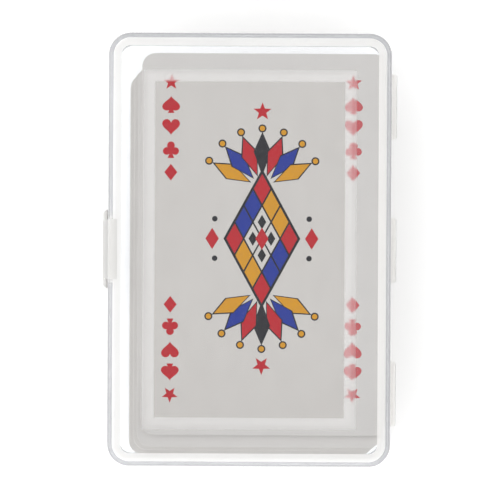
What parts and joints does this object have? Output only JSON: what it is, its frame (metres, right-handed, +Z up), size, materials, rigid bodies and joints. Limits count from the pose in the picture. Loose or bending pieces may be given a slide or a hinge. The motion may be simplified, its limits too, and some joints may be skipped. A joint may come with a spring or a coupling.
{
  "type": "playing card deck in a hinged case",
  "caption": "Deck of playing cards stacked askew in a clear plastic case with a living-hinge lid, a sunk lid panel and a snap latch tab.",
  "frame": {"origin": "middle of the case's underside, on the surface that it lies on", "axes": "+X towards the hinge, +Y along the cards towards the end with the wider finger gap, +Z up through the lid"},
  "size_m": [0.069, 0.101, 0.02],
  "materials": {
    "clear_plastic": "satin",
    "card_stock": "satin"
  },
  "bodies": {
    "tray": {"tray": "clear_plastic", "hinge_strap_lower": "clear_plastic", "hinge_strap_middle": "clear_plastic", "hinge_strap_upper": "clear_plastic"},
    "lid": {"lid": "clear_plastic"},
    "latch": {"latch_tab": "clear_plastic"},
    "bottom_packet": {"ace_of_spades": "card_stock", "two_of_spades": "card_stock", "three_of_spades": "card_stock", "four_of_spades": "card_stock", "five_of_spades": "card_stock", "six_of_spades": "card_stock", "seven_of_spades": "card_stock", "eight_of_spades": "card_stock", "nine_of_spades": "card_stock", "ten_of_spades": "card_stock", "jack_of_spades": "card_stock", "queen_of_spades": "card_stock", "king_of_spades": "card_stock", "ace_of_hearts": "card_stock", "two_of_hearts": "card_stock", "three_of_hearts": "card_stock", "four_of_hearts": "card_stock", "five_of_hearts": "card_stock", "six_of_hearts": "card_stock", "seven_of_hearts": "card_stock", "eight_of_hearts": "card_stock", "nine_of_hearts": "card_stock", "ten_of_hearts": "card_stock", "jack_of_hearts": "card_stock", "queen_of_hearts": "card_stock", "king_of_hearts": "card_stock", "ace_of_diamonds": "card_stock", "two_of_diamonds": "card_stock", "three_of_diamonds": "card_stock", "four_of_diamonds": "card_stock", "five_of_diamonds": "card_stock", "six_of_diamonds": "card_stock", "seven_of_diamonds": "card_stock", "eight_of_diamonds": "card_stock", "nine_of_diamonds": "card_stock", "ten_of_diamonds": "card_stock"},
    "thin_packet": {"jack_of_diamonds": "card_stock", "queen_of_diamonds": "card_stock", "king_of_diamonds": "card_stock", "ace_of_clubs": "card_stock", "two_of_clubs": "card_stock"},
    "upper_packet": {"three_of_clubs": "card_stock", "four_of_clubs": "card_stock", "five_of_clubs": "card_stock", "six_of_clubs": "card_stock", "seven_of_clubs": "card_stock", "eight_of_clubs": "card_stock", "nine_of_clubs": "card_stock", "ten_of_clubs": "card_stock", "jack_of_clubs": "card_stock", "queen_of_clubs": "card_stock", "king_of_clubs": "card_stock", "plain_joker": "card_stock"},
    "top_card": {"coloured_joker": "card_stock"}
  },
  "joints": [
    {"name": "lid_hinge", "type": "hinge", "parent": "tray", "child": "lid", "pos_m": [0.034, 0, 0.0105], "axis": [0, 1, 0], "range_deg": [0, 180], "deforming": ["hinge_strap_lower", "hinge_strap_middle", "hinge_strap_upper"]},
    {"name": "latch_flex", "type": "hinge", "parent": "lid", "child": "latch", "pos_m": [-0.0336, 0, 0.013], "axis": [0, 1, 0], "range_deg": [0, 12], "stiffness_Nm_per_rad": 0.02},
    {"name": "pack_slide", "type": "slide", "parent": "tray", "child": "bottom_packet", "axis": [0, 1, 0], "range_m": [-0.0004, 0.003]},
    {"name": "upper_packet_slide", "type": "slide", "parent": "bottom_packet", "child": "upper_packet", "axis": [0.6968, 0.7173, 0], "range_m": [-0.00293, 0]},
    {"name": "thin_packet_slide", "type": "slide", "parent": "bottom_packet", "child": "thin_packet", "axis": [0.6897, 0.7241, 0], "range_m": [-0.00145, 0]},
    {"name": "top_card_slide", "type": "slide", "parent": "bottom_packet", "child": "top_card", "axis": [0.4965, 0.868, 0], "range_m": [-0.0056, 0]}
  ],
  "couplings": [
    {"joint": "thin_packet_slide", "follows": "upper_packet_slide", "ratio": 0.49526},
    {"joint": "top_card_slide", "follows": "upper_packet_slide", "ratio": 1.9124}
  ]
}
